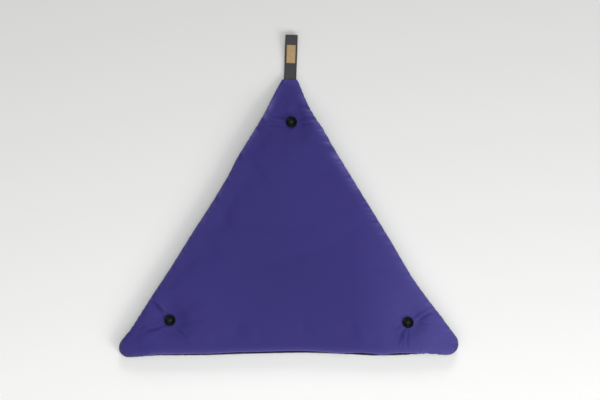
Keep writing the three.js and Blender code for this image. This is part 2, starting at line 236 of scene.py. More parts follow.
class Plan:
    """The pad seen from above: a triangular grid of points drawn out to the outline."""

    def __init__(self, rows):
        self.rows = rows
        self.outline, self.corners = make_outline()
        self.middle = self.corners.mean(0)
        i, j = np.meshgrid(np.arange(rows + 1), np.arange(rows + 1), indexing="ij")
        keep = (i + j <= rows) & ~corner_points(i, j, rows)
        self.i, self.j = i[keep], j[keep]
        self.index = np.full((rows + 1, rows + 1), -1)
        self.index[self.i, self.j] = np.arange(len(self.i))
        self.points = self.place(self.i / rows, self.j / rows)
        self.on_seam = (self.i == 0) | (self.j == 0) | (self.i + self.j == rows)
        self.measure()

    def place(self, second, third):
        shares = np.column_stack([1 - second - third, second, third]).clip(0, 1)
        crowded = shares ** EDGE_CROWDING
        crowded /= crowded.sum(1, keepdims=True)
        offset = crowded @ (self.corners - self.middle)
        length = np.hypot(offset[:, 0], offset[:, 1])
        direction = offset / np.maximum(length, TINY)[:, None]
        outwards = 1 - 3 * crowded.min(1)
        reach = self.reach_along(np.arctan2(direction[:, 1], direction[:, 0]))
        return self.middle + direction * (outwards * reach)[:, None]

    def reach_along(self, angles):
        rays = self.outline - self.middle
        ray_angles = np.arctan2(rays[:, 1], rays[:, 0])
        order = np.argsort(ray_angles)
        lengths = np.hypot(rays[:, 0], rays[:, 1])[order]
        return np.interp(angles, ray_angles[order], lengths, period=2 * math.pi)

    def measure(self):
        """Each point's distance from the outline, the way inwards and its place along it."""
        start = self.outline
        step = np.roll(start, -1, 0) - start
        squared = (step ** 2).sum(1)
        lengths = np.sqrt(squared)
        walked = np.concatenate([[0], np.cumsum(lengths)[:-1]])
        self.length = lengths.sum()
        usable = lengths > SHORTEST_STEP
        start, step, squared, walked, lengths = (
            a[usable] for a in (start, step, squared, walked, lengths))
        self.inward = np.zeros(len(self.points))
        self.walked = np.zeros(len(self.points))
        self.inwards = np.zeros_like(self.points)
        for some in np.array_split(np.arange(len(self.points)), BATCHES):
            away = self.points[some][:, None] - start
            share = np.clip((away * step).sum(2) / squared, 0, 1)
            gap = away - share[..., None] * step
            distance = np.hypot(gap[..., 0], gap[..., 1])
            best = distance.argmin(1)
            row = np.arange(len(some))
            inward = distance[row, best]
            self.inward[some] = inward
            self.walked[some] = walked[best] + share[row, best] * lengths[best]
            normal = np.column_stack([step[best, 1], -step[best, 0]]) / lengths[best][:, None]
            straight = gap[row, best] / np.maximum(inward, TINY)[:, None]
            beside = (inward < BESIDE_OUTLINE)[:, None]
            self.inwards[some] = np.where(beside, normal, straight)

    def faces(self):
        """Triangles of the face, counter-clockwise, as rows of three point numbers."""
        i, j = np.meshgrid(np.arange(self.rows), np.arange(self.rows), indexing="ij")
        up = i + j < self.rows
        down = i + j < self.rows - 1
        upright = [self.index[i[up] + a, j[up] + b] for a, b in ((0, 0), (1, 0), (0, 1))]
        turned = [self.index[i[down] + a, j[down] + b] for a, b in ((1, 0), (1, 1), (0, 1))]
        triangles = np.vstack([np.column_stack(upright), np.column_stack(turned)])
        return triangles[(triangles >= 0).all(1)]

    def carry_over(self, coarse, values):
        """Values at a coarser plan's points, read off at this plan's points and smoothed."""
        ratio = self.rows / coarse.rows
        grid = np.zeros((coarse.rows + 2, coarse.rows + 2, values.shape[1]))
        grid[coarse.i, coarse.j] = values
        i, j = self.i / ratio, self.j / ratio
        i0, j0 = np.floor(i).astype(int), np.floor(j).astype(int)
        fi, fj = (i - i0)[:, None], (j - j0)[:, None]
        lower = (grid[i0, j0] + fi * (grid[i0 + 1, j0] - grid[i0, j0])
                 + fj * (grid[i0, j0 + 1] - grid[i0, j0]))
        far = grid[np.minimum(i0 + 1, coarse.rows), np.minimum(j0 + 1, coarse.rows)]
        upper = (far + (1 - fi) * (grid[i0, j0 + 1] - far)
                 + (1 - fj) * (grid[i0 + 1, j0] - far))
        return self.smoothed(np.where(fi + fj <= 1, lower, upper), SMOOTHING_PASSES)

    def smoothed(self, values, passes):
        """Values averaged with their neighbours, the seam's left alone."""
        rows = self.rows
        grid = np.zeros((rows + 3, rows + 3, values.shape[1]))
        inner = ~self.on_seam
        i, j = self.i[inner] + 1, self.j[inner] + 1
        grid[self.i + 1, self.j + 1] = values
        for _ in range(passes):
            around = (grid[i + 1, j] + grid[i - 1, j] + grid[i, j + 1] + grid[i, j - 1]
                      + grid[i + 1, j - 1] + grid[i - 1, j + 1]) / 6
            grid[i, j] = (grid[i, j] + around) / 2
        return grid[self.i + 1, self.j + 1]


def corner_points(i, j, rows):
    return ((i == 0) & (j == 0)) | (i == rows) | (j == rows)


def bell(away, width):
    return np.exp(-(away / width) ** 2)


def away_from(place, points):
    """How far points lie from a place, seen from above."""
    return np.hypot(points[:, 0] - place.x, points[:, 1] - place.y)


def thinning(points):
    share = np.ones(len(points))
    for thin in THIN_CORNERS:
        t = np.clip(away_from(thin, points) / thin.reach, 0, 1)
        share *= thin.share + (1 - thin.share) * t * t * (3 - 2 * t)
    return share


def tuft_pull(points, seat, fade):
    return sum(
        tuft.depth * bell(np.maximum(away_from(tuft, points) - seat, 0), fade)
        for tuft in TUFTS)


def along_line(points, line, bow=0.0):
    """Share along a line, and signed distance to its left, of points near it."""
    start = np.array([line.from_x, line.from_y], float)
    way = np.array([line.to_x, line.to_y], float) - start
    length = np.hypot(*way)
    way /= length
    offset = points - start
    along = offset @ way
    share = along / length
    inside = np.clip(share, 0, 1)
    aside = offset @ np.array([-way[1], way[0]]) - bow * 4 * inside * (1 - inside)
    past = along - inside * length
    return inside, aside, past


def valley_depth(points):
    depth = np.zeros(len(points))
    for valley in VALLEYS:
        _, aside, past = along_line(points, valley)
        depth += valley.depth * bell(np.hypot(aside, past), valley.width)
    return depth


# A crease is tapered by this much of a sine's arch. Its run past its ends and its ridge's
# place and width are in widths of the crease.
TAPER_START = 0.12
TAPER_SPAN = 0.76
TROUGH_SHARPNESS = 1.5
RUN_OUT = 2
RIDGE_ASIDE = 2
RIDGE_WIDTH = 1.4


def crease_depth(points):
    """Sharp troughs with a soft ridge on their left, strongest in mid-length."""
    depth = np.zeros(len(points))
    for crease in CREASES:
        share, aside, past = along_line(points, crease, crease.bow)
        arch = np.sin(math.pi * (TAPER_START + TAPER_SPAN * share))
        taper = np.sqrt(np.clip(arch, 0, 1)) * bell(past, RUN_OUT * crease.width)
        trough = np.exp(-np.abs(aside / crease.width) ** TROUGH_SHARPNESS)
        ridge = bell(aside - RIDGE_ASIDE * crease.width, RIDGE_WIDTH * crease.width)
        depth += taper * (crease.depth * trough - crease.ridge * ridge)
    return depth


def roll_shape(share, width, inset):
    """Inset from the outline and rise from the seam of a roll of cloth, share 0 to 1."""
    power = 2 / ROLL_FULLNESS
    dip = np.arccos(np.clip(1 - inset / width, 0, 1) ** (1 / power))
    angle = -dip + (math.pi / 2 + dip) * share
    sine = np.sign(np.sin(angle)) * np.abs(np.sin(angle)) ** power
    low = np.sin(dip) ** power
    return width * (1 - np.abs(np.cos(angle)) ** power), (sine + low) / (1 + low)


# Small tucks where the cloth is gathered into the seam, each at its own slant.
PUCKER_PITCH = 7
PUCKER_STRAY = 0.4
PUCKER_WIDTHS = (1.5, 2.8)
PUCKER_REACHES = (8, 19)
PUCKER_DEPTHS = (0.2, 0.9)
PUCKER_SLANT = 0.7
FACE_PUCKER_SEED = 7
FOOT_PUCKER_SEED = 11

# Stretches where the tucks are deeper: round a point, how far, how many times.
Gathered = namedtuple("Gathered", "x y reach times")
GATHERED = [
    Gathered(-36, 126, 42, 2.4),
    Gathered(46, 118, 56, 2.4),
    Gathered(202, -250, 32, 3.6),
    Gathered(236, -186, 34, 1.8),
    Gathered(-226, -160, 24, 1.5),
    Gathered(-248, -214, 26, 1.5),
    Gathered(0, -253, 170, 0.35),
]


def pucker_depth(plan, seed):
    """How deep the tucks along the seam cut into the cloth at each point."""
    rng = np.random.default_rng(seed)
    count = round(plan.length / PUCKER_PITCH)
    near = np.flatnonzero(plan.inward < PUCKER_REACHES[1])
    walked, inward = plan.walked[near], plan.inward[near]
    times = np.ones(len(near))
    for place in GATHERED:
        away = away_from(place, plan.points[near])
        times += (place.times - 1) * bell(away, place.reach)
    depth = np.zeros(len(plan.points))
    for number in range(count):
        at = (number + rng.uniform(-PUCKER_STRAY, PUCKER_STRAY)) * PUCKER_PITCH
        width, reach = rng.uniform(*PUCKER_WIDTHS), rng.uniform(*PUCKER_REACHES)
        deep, slant = rng.uniform(*PUCKER_DEPTHS), rng.uniform(-PUCKER_SLANT, PUCKER_SLANT)
        half = plan.length / 2
        aside = (walked - at - slant * inward + half) % plan.length - half
        fade = np.clip(1 - inward / reach, 0, 1)
        depth[near] += times * deep * bell(aside, width) * fade * fade * (3 - 2 * fade)
    return depth


# The upper roll is set back from the lower one: most along the long side, where the lower
# one shows below it, and a little along the other two.
SetBack = namedtuple("SetBack", "x back")
LONG_SIDE_SET_BACK = rows_of(SetBack, [
    (-276, 2.2), (-258, 1.7), (-230, 1.6), (-205, 2.4), (-185, 2.6), (-160, 3.4),
    (-120, 3.2), (-85, 4.2), (-40, 4.2), (0, 4.6), (45, 3.6), (78, 1.6),
    (96, 2.9), (118, 5), (134, 4.6), (150, 1.6), (176, 4.4), (194, 3.5),
    (210, 1), (236, 1), (258, 1.2), (276, 2.4),
])
LEFT_SET_BACK = 0.35
RIGHT_SET_BACK = 0.9
LONG_SIDE_EDGE = -225
LONG_SIDE_EDGE_FADE = 14


def set_back(points):
    x, y = points.T
    on_long_side = np.clip((LONG_SIDE_EDGE - y) / LONG_SIDE_EDGE_FADE, 0, 1)
    beside = np.where(x < 0, LEFT_SET_BACK, RIGHT_SET_BACK)
    return beside + on_long_side * (smooth_through(LONG_SIDE_SET_BACK, x) - beside)


# Painted sheen: the cloth is paler along its edges: how much by side, and how far in.
# Along the long side a painted highlight also runs on the edge of the roll.
PaintedSheen = namedtuple("PaintedSheen", "y amount")
LEFT_PAINTED_SHEEN = rows_of(PaintedSheen, [
    (-240, 0.2), (-216, 0.16), (-184, 0.2), (-136, 0.32), (-71, 0.38), (-7, 0.42),
    (58, 0.4), (98, 0.75), (129, 1.1), (148, 1.15), (167, 0.3),
])
RIGHT_PAINTED_SHEEN = rows_of(PaintedSheen, [
    (-240, 0.3), (-136, 0.4), (-71, 0.42), (-7, 0.5), (58, 0.8),
    (98, 0.85), (129, 0.6), (148, 0.6), (167, 0.3),
])
LEFT_SHEEN_REACH = 6.5
RIGHT_SHEEN_REACH = 9
LONG_SIDE_PAINTED_SHEEN = 0.36
LONG_SIDE_SHEEN_REACH = 6.5
ROLL_EDGE_PAINTED_HIGHLIGHT = 0.55
ROLL_EDGE_REACH = 1.8
LONG_SIDE_HALF = 225

# The stretches of painted sheen are broken up by the tucks.
SHEEN_PATCH_PITCH = 3.2
SHEEN_PATCH_SLANT = 0.6
SHEEN_PATCH_AMOUNTS = (0.1, 1.7)
SHEEN_PATCH_SEED = 5


def face_inset(plan):
    """How far in from the edge of its roll each point of the face lies."""
    thin = thinning(plan.points)
    share = np.clip(plan.inward / (RIM_WIDTH * thin), 0, 1)
    inset, _ = roll_shape(share, RIM_WIDTH * thin, SEAM_INSET * thin)
    return np.where(share < 1, inset, plan.inward)


def painted_sheen(plan):
    """How much the painted sheen pales the cloth at each point of the face, from nought to one.
    """
    x, y = plan.points.T
    inset = face_inset(plan)
    left = smooth_through(LEFT_PAINTED_SHEEN, y) * bell(inset, LEFT_SHEEN_REACH)
    right = smooth_through(RIGHT_PAINTED_SHEEN, y) * bell(inset, RIGHT_SHEEN_REACH)
    long = (LONG_SIDE_PAINTED_SHEEN * bell(inset, LONG_SIDE_SHEEN_REACH)
            + ROLL_EDGE_PAINTED_HIGHLIGHT * bell(inset, ROLL_EDGE_REACH))
    patches = np.random.default_rng(SHEEN_PATCH_SEED).uniform(
        *SHEEN_PATCH_AMOUNTS, round(plan.length / SHEEN_PATCH_PITCH))
    at = (plan.walked + SHEEN_PATCH_SLANT * inset) / plan.length * len(patches)
    uneven = np.interp(at, np.arange(len(patches)), patches)
    on_long_side = (y < LONG_SIDE_EDGE) & (np.abs(x) < LONG_SIDE_HALF)
    amount = np.where(on_long_side, long, np.where(x < 0, left, right) * uneven)
    return np.clip(amount, 0, 1)


# Patches of painted shade, where the cloth's colour is darkened: round a point, how far, how
# much.
ShadePatch = namedtuple("ShadePatch", "x y reach amount")
PAINTED_SHADE_PATCHES = [
    ShadePatch(6, -126, 115, 0.56),
    ShadePatch(-8, 108, 75, 0.6),
    ShadePatch(-60, -60, 60, 0.15),
    ShadePatch(269, -243, 5.5, 1),
]


def painted_shade(points):
    depth = sum(place.amount * bell(away_from(place, points), place.reach) for place in PAINTED_SHADE_PATCHES)
    return np.clip(depth, 0, 1)


# Painted shade: the seam lies in shadow between the two rolls of cloth, and its colour is
# darkened.
SEAM_SHADE_SHARE = 0.1


def painted_seam_shade(plan):
    """Painted shade by the seam: one at the seam, fading out over the first of the face's roll.
    """
    share = plan.inward / (RIM_WIDTH * thinning(plan.points))
    return np.clip(1 - share / SEAM_SHADE_SHARE, 0, 1)


# Painted shade on the back panel: darkest in the fold beside the seam, and a little dark all
# over.
BACK_SHADE = 0.55
BACK_SHADE_STARTS = 0.35
BACK_SHADE_SETTLES = 0.9


def back_shade(plan):
    share = plan.inward / (FOOT_WIDTH * thinning(plan.points))
    away = (share - BACK_SHADE_STARTS) / (BACK_SHADE_SETTLES - BACK_SHADE_STARTS)
    return 1 - (1 - BACK_SHADE) * np.clip(away, 0, 1)


# How steeply a tuck deepens as it leaves the seam.
TUCK_ONSET = 6


def pad_surface(plan):
    """Places of the face's and the underside's points, in millimetres."""
    share = thinning(plan.points)
    rim_width = RIM_WIDTH * share
    foot_width = FOOT_WIDTH * share
    rim_share = np.clip(plan.inward / rim_width, 0, 1)
    foot_share = np.clip(plan.inward / foot_width, 0, 1)
    inset = SEAM_INSET * share
    back = set_back(plan.points)
    rim_inset, rim_rise = roll_shape(rim_share, rim_width, inset)
    foot_inset, foot_drop = roll_shape(foot_share, foot_width, inset + back)
    crown = CROWN_RISE * (1 - np.exp(-plan.inward / CROWN_REACH))
    settled = np.clip(plan.inward / RIM_WIDTH, 0, 1)
    tucks = share * pucker_depth(plan, FACE_PUCKER_SEED)
    foot_tucks = share * pucker_depth(plan, FOOT_PUCKER_SEED)
    pull = tuft_pull(plan.points, TUFT_SEAT, TUFT_FADE) + valley_depth(plan.points)
    pull += crease_depth(plan.points)
    top = share * (SEAM_HEIGHT + RIM_RISE * rim_rise + crown) - settled * pull
    top -= tucks * rim_share
    lifted = TUFT_FOOT_SHARE * tuft_pull(plan.points, TUFT_FOOT_SEAT, TUFT_FOOT_FADE)
    bottom = share * SEAM_HEIGHT * (1 - foot_drop) + settled * lifted
    rim_inset += (back + tucks * np.minimum(1, TUCK_ONSET * rim_share)) * (1 - rim_share)
    foot_inset += foot_tucks * (1 - foot_share) * np.minimum(1, TUCK_ONSET * foot_share)
    in_rim = (rim_share < 1)[:, None]
    in_foot = (foot_share < 1)[:, None]
    face = plan.points + in_rim * plan.inwards * (rim_inset - plan.inward)[:, None]
    foot = plan.points + in_foot * plan.inwards * (foot_inset - plan.inward)[:, None]
    return np.column_stack([face, top]), np.column_stack([foot, bottom])


def add_object(name, data):
    made = bpy.data.objects.new(name, data)
    bpy.context.scene.collection.objects.link(made)
    return made


def add_drawn(name, drawn):
    """A mesh object from a bmesh, which is freed."""
    mesh = bpy.data.meshes.new(name)
    drawn.to_mesh(mesh)
    drawn.free()
    return add_object(name, mesh)


def make_mesh(name, points, faces, attributes=None):
    """A smooth mesh object from points in millimetres, with float attributes by name."""
    mesh = bpy.data.meshes.new(name)
    places = (np.asarray(points, float) - WHOLE_MIDDLE) * MM
    mesh.from_pydata(places.tolist(), [], [list(map(int, f)) for f in faces])
    mesh.update()
    mesh.shade_smooth()
    for attribute, values in (attributes or {}).items():
        layer = mesh.attributes.new(attribute, "FLOAT", "POINT")
        layer.data.foreach_set("value", np.asarray(values, np.float32))
    return add_object(name, mesh)


def closed_pad(plan, face, under):
    """Points and faces of the face and the underside, joined along the seam."""
    triangles = plan.faces()
    numbers = np.arange(len(face))
    numbers[~plan.on_seam] = len(face) + np.arange((~plan.on_seam).sum())
    points = np.vstack([face, under[~plan.on_seam]])
    return points, np.vstack([triangles, numbers[triangles][:, ::-1]])


def on_both_sides(plan, on_face, on_underside):
    """Values of the closed pad's points, the seam's taken from the face."""
    underside = np.broadcast_to(on_underside, on_face.shape)
    return np.concatenate([on_face, underside[~plan.on_seam]])


def make_pad():
    plan = Plan(ROWS)
    face, under = pad_surface(plan)
    face += cloth_wrinkles(plan)
    meet_buttons(face)
    points, faces = closed_pad(plan, face, under)
    pad = make_mesh("pad", points, faces, {
        # Painted sheen along the edges of the face, and a painted highlight on the roll.
        "painted_sheen": on_both_sides(plan, painted_sheen(plan), 0),
        # The "deep" attribute carries painted shade in patches on the face.
        "deep": on_both_sides(plan, painted_shade(plan.points), 0),
        # The "lower" attribute carries painted shade by the seam and over the back panel.
        "lower": on_both_sides(plan, painted_seam_shade(plan), back_shade(plan)),
        "walked": on_both_sides(plan, plan.walked, plan.walked),
        "inward": on_both_sides(plan, face_inset(plan), plan.inward),
    })
    pad.data.materials.append(cloth_material())
    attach(pad, "root")
    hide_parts("cushion")


def meet_buttons(face):
    """Lifts the cloth in each dimple until it touches the underside of its button."""
    for tuft in TUFTS:
        away = away_from(tuft, face)
        seat = face[away < BUTTON_RADIUS, 2].max()
        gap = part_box("button-" + tuft.name)[0].z / MM - seat
        face[:, 2] += gap * bell(np.maximum(away - BUTTON_RADIUS, 0), TUFT_SEAT)


# The cloth is blown up on a coarser pad, whose seam, tufts and underside are held. The
# swelling itself is taken off again, and what stays are the folds, up to a cap.
SIM_ROWS = 108
SIM_FRAMES = 20
SIM_QUALITY = 6
SIM_MASS = 0.2
SIM_STRETCH_STIFFNESS = 15
SIM_SHEAR_STIFFNESS = 5
SIM_BENDING_STIFFNESS = 0.05
SIM_PRESSURE = 4
SIM_SPARE_CLOTH = 0.012
SIM_BROAD_PASSES = 220
SIM_CAP = 1.6
SIM_HELD_RIM = 6
SIM_RIM_FADE = 24


def cloth_wrinkles(plan):
    """How far each point of the face moves when the cloth is blown up and settles."""
    coarse = Plan(SIM_ROWS)
    face, under = pad_surface(coarse)
    points, faces = closed_pad(coarse, face, under)
    cloth = make_mesh("cloth-trial", points, faces)
    held = cloth.vertex_groups.new(name="held")
    fixed = coarse.inward < SIM_HELD_RIM
    for tuft in TUFTS:
        fixed |= away_from(tuft, face) < BUTTON_RADIUS
    fixed = np.concatenate([fixed, np.ones(len(points) - len(face), bool)])
    held.add(np.flatnonzero(fixed).tolist(), 1.0, "REPLACE")
    moved = (simulate(cloth, held) / MM + WHOLE_MIDDLE - points)[:len(face)]
    bpy.data.objects.remove(cloth)
    folds = moved - coarse.smoothed(moved, SIM_BROAD_PASSES)
    length = np.linalg.norm(folds, axis=1, keepdims=True)
    folds *= SIM_CAP * np.tanh(length / SIM_CAP) / np.maximum(length, TINY)
    folds *= np.clip((coarse.inward - SIM_HELD_RIM) / SIM_RIM_FADE, 0, 1)[:, None]
    return plan.carry_over(coarse, folds)


def simulate(cloth, held):
    """Runs the cloth and gives back the places of its points, in metres."""
    modifier = cloth.modifiers.new("cloth", "CLOTH")
    settings = modifier.settings
    settings.quality = SIM_QUALITY
    settings.mass = SIM_MASS
    settings.tension_stiffness = SIM_STRETCH_STIFFNESS
    settings.compression_stiffness = SIM_STRETCH_STIFFNESS
    settings.shear_stiffness = SIM_SHEAR_STIFFNESS
    settings.bending_stiffness = SIM_BENDING_STIFFNESS
    settings.use_pressure = True
    settings.uniform_pressure_force = SIM_PRESSURE
    settings.shrink_min = -SIM_SPARE_CLOTH
    settings.vertex_group_mass = held.name
    settings.effector_weights.gravity = 0
    modifier.collision_settings.use_collision = False
    scene = bpy.context.scene
    for number in range(1, SIM_FRAMES + 1):
        scene.frame_set(number)
    solved = cloth.evaluated_get(bpy.context.evaluated_depsgraph_get())
    places = np.zeros(len(solved.data.vertices) * 3)
    solved.data.vertices.foreach_get("co", places)
    scene.frame_set(1)
    return places.reshape(-1, 3)


BUTTON_RADIUS = 9
BUTTON_SIDES = 96
HOLES = 4
HOLE_RADIUS = 1.1
HOLE_REACH = 2 * math.sqrt(2)
HOLE_SIDES = 32
CUTTER_LENGTH = 14.4

# The button in section, from its axis underneath, round its rim and into its dish.
Section = namedtuple("Section", "out up")
BUTTON_SECTION = rows_of(Section, [
    (0, 0), (6.8, 0), (7.9, 0.25), (8.7, 0.9), (9, 1.8), (8.85, 2.7), (8.4, 3.35),
    (7.8, 3.6), (7.2, 3.45), (6.6, 2.9), (6, 2.45), (5, 2.25), (3, 2.2), (0, 2.2),
])


def lathe(section, sides):
    """Points and faces of a section turned round the Z axis, poles merged."""
    angles = np.arange(sides) * 2 * math.pi / sides
    points = [(0, 0, section[0].up)]
    for row in section[1:-1]:
        points += [(row.out * math.cos(a), row.out * math.sin(a), row.up) for a in angles]
    points.append((0, 0, section[-1].up))
    rings = len(section) - 2
    faces = []
    for k in range(sides):
        after = (k + 1) % sides
        faces.append((0, 1 + after, 1 + k))
        for ring in range(rings - 1):
            low, high = 1 + ring * sides, 1 + (ring + 1) * sides
            faces.append((low + k, low + after, high + after, high + k))
        last = 1 + (rings - 1) * sides
        faces.append((last + k, last + after, len(points) - 1))
    return points, faces


def make_button(tuft, material):
    points, faces = lathe(BUTTON_SECTION, BUTTON_SIDES)
    button = make_mesh("button-disc-" + tuft.name, np.add(points, WHOLE_MIDDLE), faces)
    drill(button)
    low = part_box("button-" + tuft.name)[0]
    turn = Matrix.Rotation(math.radians(tuft.turn), 4, "Z")
    x, y, _ = np.subtract((tuft.x, tuft.y, 0), WHOLE_MIDDLE) * MM
    button.data.transform(Matrix.Translation((x, y, low.z)) @ turn)
    button.data.materials.append(material)
    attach(button, "root")
    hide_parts("button-" + tuft.name)


def drill(button):
    """Cuts the four holes through a button that lies round the origin."""
    drawn = bmesh.new()
    for hole in range(HOLES):
        angle = (hole + 0.5) * 2 * math.pi / HOLES
        centre = Matrix.Translation((
            HOLE_REACH * math.cos(angle) * MM, HOLE_REACH * math.sin(angle) * MM, 0))
        bmesh.ops.create_cone(
            drawn, cap_ends=True, segments=HOLE_SIDES, radius1=HOLE_RADIUS * MM,
            radius2=HOLE_RADIUS * MM, depth=CUTTER_LENGTH * MM, matrix=centre)
    cutter = add_drawn("holes", drawn)
    cut =button.modifiers.new("holes", "BOOLEAN")
    cut.operation = "DIFFERENCE"
    cut.solver = "EXACT"
    cut.object = cutter
    solved = button.evaluated_get(bpy.context.evaluated_depsgraph_get())
    button.data = bpy.data.meshes.new_from_object(solved)
    button.modifiers.clear()
    bpy.data.objects.remove(cutter)


THREAD_RADIUS = 0.32
THREAD_SIDES = 8


def unit(vectors):
    return vectors / np.maximum(np.linalg.norm(vectors, axis=1, keepdims=True), TINY)


def tube(path, radius, sides):
    """Points and faces of a round tube along a path, closed at both ends."""
    ways = unit(np.gradient(path, axis=0))
    across = unit(np.cross(ways, [0, 0, 1]))
    lift = np.cross(across, ways)
    angles = np.arange(sides) * 2 * math.pi / sides
    rings = [
        centre + radius * (math.cos(a) * side + math.sin(a) * top)
        for centre, side, top in zip(path, across, lift) for a in angles]
    faces = []
    for ring in range(len(path) - 1):
        for k in range(sides):
            after = (k + 1) % sides
            low, high = ring * sides, (ring + 1) * sides
            faces.append((low + k, low + after, high + after, high + k))
    faces.append(tuple(range(sides))[::-1])
    faces.append(tuple((len(path) - 1) * sides + k for k in range(sides)))
    return rings, faces


def join_parts(name, parts):
    """One mesh object from several lists of points and faces."""
    points, faces = [], []
    for part_points, part_faces in parts:
        faces += [tuple(k + len(points) for k in face) for face in part_faces]
        points += [tuple(p) for p in part_points]
    return make_mesh(name, points, faces)


THREAD_STRANDS = (-0.55, 0, 0.55)
THREAD_STEPS = 12
THREAD_TOP = 3.1
THREAD_FOOT = 0.6
THREAD_FLATNESS = 5
THREAD_RUN = 1.15

# The second diagonal rides over the first, and the outer strands lie lower.
CROSSING_RISE = 0.25
CROSSING_WIDTH = 0.5
OUTER_DROP = 0.1


def make_button_thread(tuft, material):
    """Strands that cross from hole to hole over the middle of a button."""
    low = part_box("button-" + tuft.name)[0].z / MM
    parts = []
    for diagonal in (0, 1):
        angle = math.radians(tuft.turn) + math.pi * (0.25 + 0.5 * diagonal)
        way = np.array([math.cos(angle), math.sin(angle), 0])
        side = np.array([-way[1], way[0], 0])
        for strand in THREAD_STRANDS:
            t = np.linspace(-1, 1, THREAD_STEPS)
            rise = THREAD_FOOT + (THREAD_TOP - THREAD_FOOT) * (1 - np.abs(t) ** THREAD_FLATNESS)
            rise += CROSSING_RISE * diagonal * bell(t, CROSSING_WIDTH) - OUTER_DROP * abs(strand)
            along = HOLE_REACH * np.sign(t) * np.minimum(np.abs(t) * THREAD_RUN, 1)
            path = (np.array([tuft.x, tuft.y, low]) + along[:, None] * way + strand * side
                    + np.outer(rise, [0, 0, 1]))
            parts.append(tube(path, THREAD_RADIUS, THREAD_SIDES))
    thread = join_parts("button-thread-" + tuft.name, parts)
    thread.data.materials.append(material)
    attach(thread, "root")


# The webbing of the loop, as in the solids.
WEBBING_WIDTH = 20
WEBBING_THICKNESS = 1.4
WEBBING_LEAN = 1.95
WEBBING_START = (2.75, 191.48)
WEBBING_TUCK = 7
FOLD_OUT = 66.9
FOLD_RADIUS = 4.3
FLOOR_LAYER = WEBBING_THICKNESS / 2
Layer = namedtuple("Layer", "out up")
LOWER_LAYER = rows_of(Layer, [
    (-WEBBING_TUCK, 3.9), (0, 3.7), (9, 1.7), (18, FLOOR_LAYER), (FOLD_OUT, FLOOR_LAYER),
])
UPPER_LAYER = rows_of(Layer, [
    (-WEBBING_TUCK, 5.3), (0, 5.5), (12, 4.2), (26, 3.9), (41, 5.6), (55.5, 8.3),
    (FOLD_OUT, FLOOR_LAYER + 2 * FOLD_RADIUS),
])
LAYER_STEPS = 90
FOLD_STEPS = 28
SLOPE_STEP = 0.01
RIBS = 7
RIB_RISE = 0.3
RIB_FULLNESS = 0.7
ACROSS_STEPS = 72
EDGE_STEPS = 9


def loop_line():
    """The middle line of the webbing, out below, round the fold and back above."""
    outs = np.linspace(-WEBBING_TUCK, FOLD_OUT, LAYER_STEPS + 1)
    angles = np.linspace(-math.pi / 2, math.pi / 2, FOLD_STEPS + 1)[1:-1]
    fold = np.column_stack([
        FOLD_OUT + FOLD_RADIUS * np.cos(angles),
        FLOOR_LAYER + FOLD_RADIUS * (1 + np.sin(angles))])
    lower = np.column_stack([outs, smooth_through(LOWER_LAYER, outs)])
    upper = np.column_stack([outs, smooth_through(UPPER_LAYER, outs)])[::-1]
    return np.vstack([lower, fold, upper])


def rights_of(line):
    """Unit vectors to the right of a walk along a line: the outer side of the loop."""
    ways = unit(np.gradient(line, axis=0))
    return np.column_stack([ways[:, 1], -ways[:, 0]])


def on_hanger(across, out, up):
    """Places in the frame of points measured on the leaning loop."""
    lean = math.radians(-WEBBING_LEAN)
    x = WEBBING_START[0] + across * math.cos(lean) - out * math.sin(lean)
    y = WEBBING_START[1] + across * math.sin(lean) + out * math.cos(lean)
    return np.column_stack([x, y, up])


def loft(name, rings, attributes):
    """A closed band from rings of points, each ring a closed section, ends capped."""
    sections, sides = rings.shape[:2]
    faces = []
    for s in range(sections - 1):
        for k in range(sides):
            after = (k + 1) % sides
            low, high = s * sides, (s + 1) * sides
            faces.append((low + k, high + k, high + after, low + after))
    faces.append(tuple(range(sides)))
    faces.append(tuple((sections - 1) * sides + k for k in range(sides))[::-1])
    return make_mesh(name, rings.reshape(-1, 3), faces, attributes)


def band_section():
    """One ring of the webbing: where each point lies across it and through it."""
    half = WEBBING_WIDTH / 2
    edge = WEBBING_THICKNESS / 2
    x = np.linspace(-half + edge, half - edge, ACROSS_STEPS + 1)
    waves = np.abs(np.cos(math.pi * RIBS * (x + half) / WEBBING_WIDTH))
    ribs = RIB_RISE * (waves ** RIB_FULLNESS - 1)
    round_angles = np.linspace(math.pi / 2, -math.pi / 2, EDGE_STEPS)[1:-1]
    right = [(half - edge + edge * math.cos(a), edge * math.sin(a)) for a in round_angles]
    outer = list(zip(x, edge + ribs))
    inner = list(zip(x[::-1], -(edge + ribs[::-1])))
    left = [(-a, -b) for a, b in right]
    return np.array(outer + right + inner + left)


def make_webbing(material):
    line = loop_line()
    rights = rights_of(line)
    section = band_section()
    walked = np.concatenate([[0], np.cumsum(np.linalg.norm(np.diff(line, axis=0), axis=1))])
    rings = []
    for point, right in zip(line, rights):
        out = point[0] + right[0] * section[:, 1]
        up = point[1] + right[1] * section[:, 1]
        rings.append(on_hanger(section[:, 0], out, up))
    webbing = loft("webbing", np.array(rings), {
        "across": np.tile(section[:, 0], len(line)),
        "along": np.repeat(walked, len(section)),
    })
    webbing.data.materials.append(material)
    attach(webbing, "root")
    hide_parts("hanging-loop")
    return webbing, walked[-1]


LABEL_WIDTH = 14.8
LABEL_FROM = 25.2
LABEL_TO = 55.2
LABEL_THICKNESS = 1.1
LABEL_GAP = 0.1
LABEL_CORNER = 0.8
LABEL_STEPS = 64
LABEL_END_STEPS = (0, 0.08, 0.2, 0.45, LABEL_CORNER)
LABEL_COLUMNS = 33
LABEL_SOFT_EDGE = 0.5
LABEL_EDGE_SHARE = 0.55
LABEL_SOFT_SHARE = 0.45
STITCH_INSET = 1.3
STITCH_LENGTH = 1.9
STITCH_PITCH = 2.75
STITCH_RADIUS = 0.2
STITCH_SIDES = 6
STITCH_STEPS = 7

